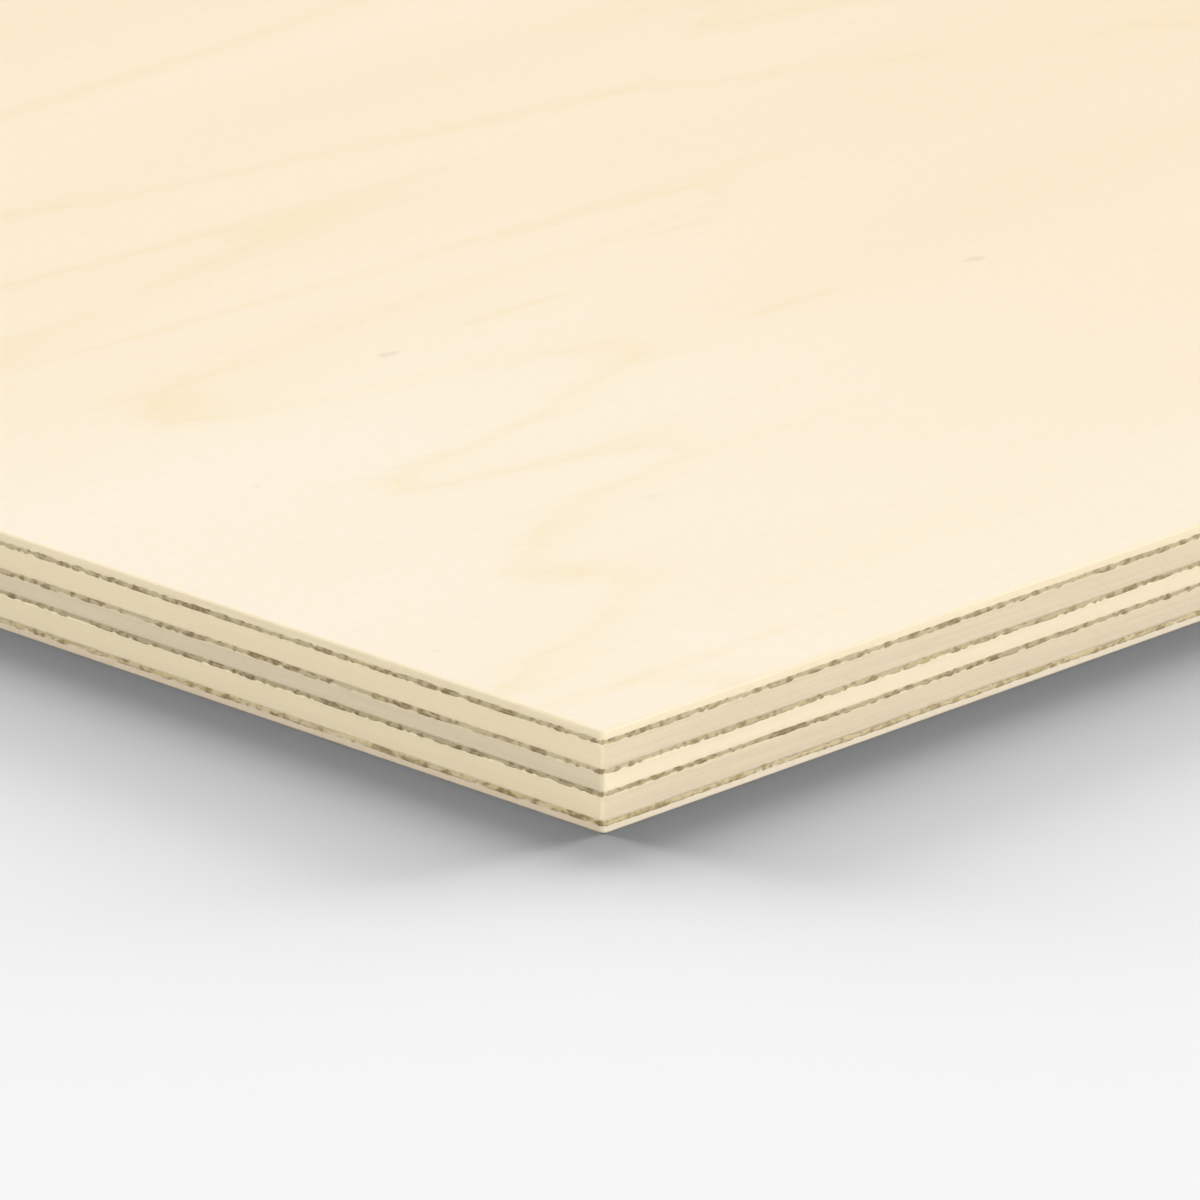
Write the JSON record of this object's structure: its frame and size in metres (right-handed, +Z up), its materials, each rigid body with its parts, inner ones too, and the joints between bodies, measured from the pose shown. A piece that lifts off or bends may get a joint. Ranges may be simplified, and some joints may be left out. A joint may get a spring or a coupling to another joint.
{
  "type": "plywood sheet",
  "caption": "Flat rectangular sheet of pale plywood with cross-laid veneers and dark glue lines showing on its sawn edges, for building and joinery.",
  "frame": {"origin": "centre of the back, on the surface that the sheet lies on", "axes": "+X along the face grain and the long sides, +Y along the short sides, +Z up out of the face"},
  "size_m": [1.22, 0.61, 0.012],
  "materials": {
    "face_veneer": "sanded, unsealed",
    "crossband": "sawn",
    "centre_ply": "sawn",
    "back_veneer": "sanded, unsealed",
    "glue": "matte"
  },
  "bodies": {
    "root": {"face_veneer": "face_veneer", "face_glue_line": "glue", "upper_crossband": "crossband", "upper_glue_line": "glue", "centre_ply": "centre_ply", "lower_glue_line": "glue", "lower_crossband": "crossband", "back_glue_line": "glue", "back_veneer": "back_veneer"}
  },
  "joints": []
}
